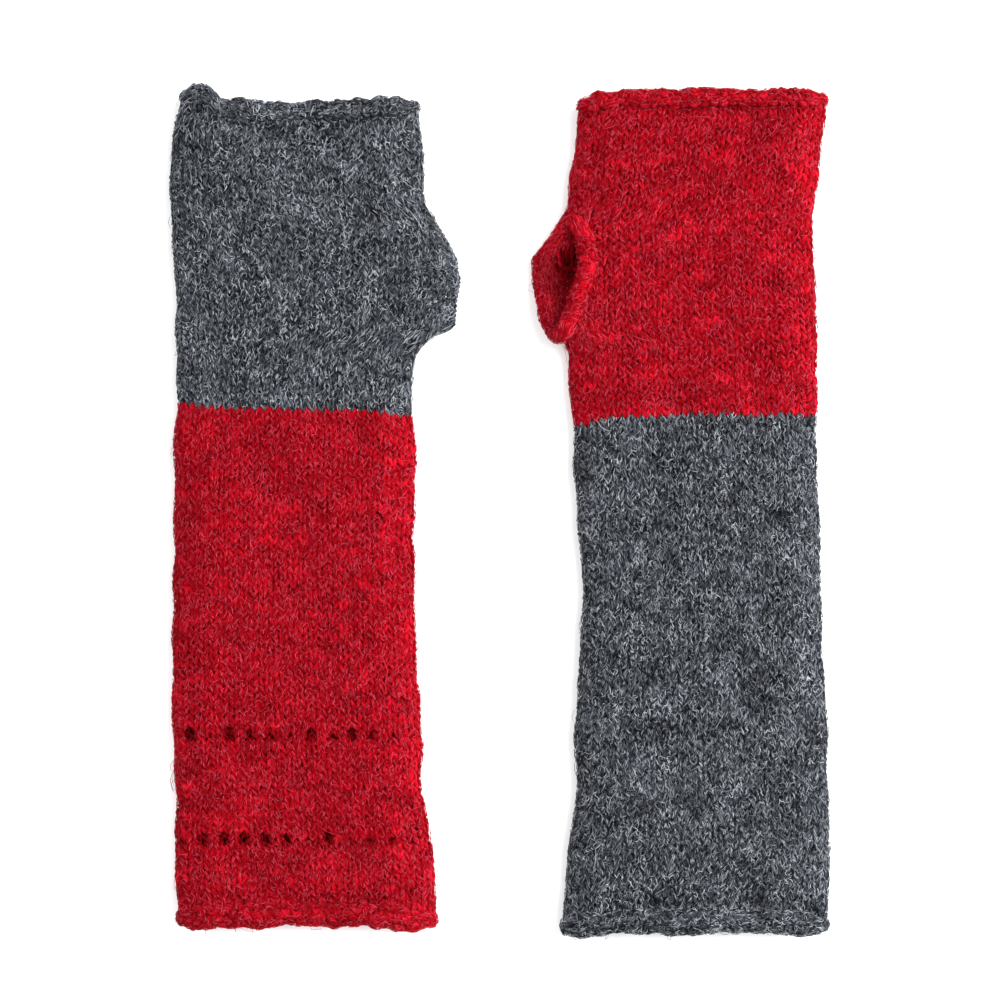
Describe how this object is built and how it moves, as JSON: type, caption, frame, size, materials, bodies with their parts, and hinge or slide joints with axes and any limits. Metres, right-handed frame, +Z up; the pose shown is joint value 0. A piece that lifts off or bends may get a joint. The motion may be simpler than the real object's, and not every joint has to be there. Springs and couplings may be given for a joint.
{
  "type": "fingerless gloves",
  "caption": "Long knitted wool fingerless gloves lying flat as a pair: colour-blocked tubes with short thumb tubes, rolled edges and eyelets.",
  "frame": {"origin": "middle of the pair's footprint on the surface that it lies on", "axes": "+Z up, +Y from the arm openings towards the fingers, +X from the left glove to the right glove as they lie"},
  "size_m": [0.2486, 0.316, 0.0136],
  "materials": {
    "grey_wool": "lightly felted heather-grey wool stockinette, fuzzy",
    "red_wool": "lightly felted crimson wool stockinette, fuzzy"
  },
  "bodies": {
    "left_cuff": {"left_cuff_tube": "red_wool", "left_arm_edge_roll": "red_wool", "left_arm_yarn_end": "red_wool", "left_join_cuff_yarn_end": "red_wool"},
    "left_hand": {"left_hand_tube": "grey_wool", "left_finger_edge_roll": "grey_wool", "left_join_hand_yarn_end": "grey_wool", "left_finger_yarn_end": "grey_wool", "left_thumb_yarn_end": "grey_wool"},
    "left_thumb": {"left_thumb_tube": "grey_wool", "left_thumb_edge_roll": "grey_wool"},
    "right_cuff": {"right_cuff_tube": "grey_wool", "right_arm_edge_roll": "grey_wool", "right_arm_yarn_end": "grey_wool", "right_join_cuff_yarn_end": "grey_wool"},
    "right_hand": {"right_hand_tube": "red_wool", "right_finger_edge_roll": "red_wool", "right_join_hand_yarn_end": "red_wool", "right_finger_yarn_end": "red_wool", "right_thumb_yarn_end": "red_wool"},
    "right_thumb": {"right_thumb_tube": "red_wool", "right_thumb_edge_roll": "red_wool"}
  },
  "joints": [
    {"name": "left_wrist_fold", "type": "hinge", "parent": "left_cuff", "child": "left_hand", "pos_m": [-0.077, 0.0385, 0.0128], "axis": [1, 0, 0], "range_deg": [0, 175]},
    {"name": "left_thumb_fold", "type": "hinge", "parent": "left_hand", "child": "left_thumb", "pos_m": [-0.0287, 0.086, 0.0128], "axis": [0, -1, 0], "range_deg": [0, 90]},
    {"name": "right_glove_lift", "type": "slide", "parent": "left_cuff", "child": "right_cuff", "axis": [0, 0, 1], "range_m": [0, 0.06]},
    {"name": "right_wrist_fold", "type": "hinge", "parent": "right_cuff", "child": "right_hand", "pos_m": [0.07245, 0.0365, 0.0128], "axis": [1, 0, 0], "range_deg": [0, 175]},
    {"name": "right_thumb_fold", "type": "hinge", "parent": "right_hand", "child": "right_thumb", "pos_m": [0.0261, 0.086, 0.0128], "axis": [0, 1, 0], "range_deg": [0, 90]}
  ]
}
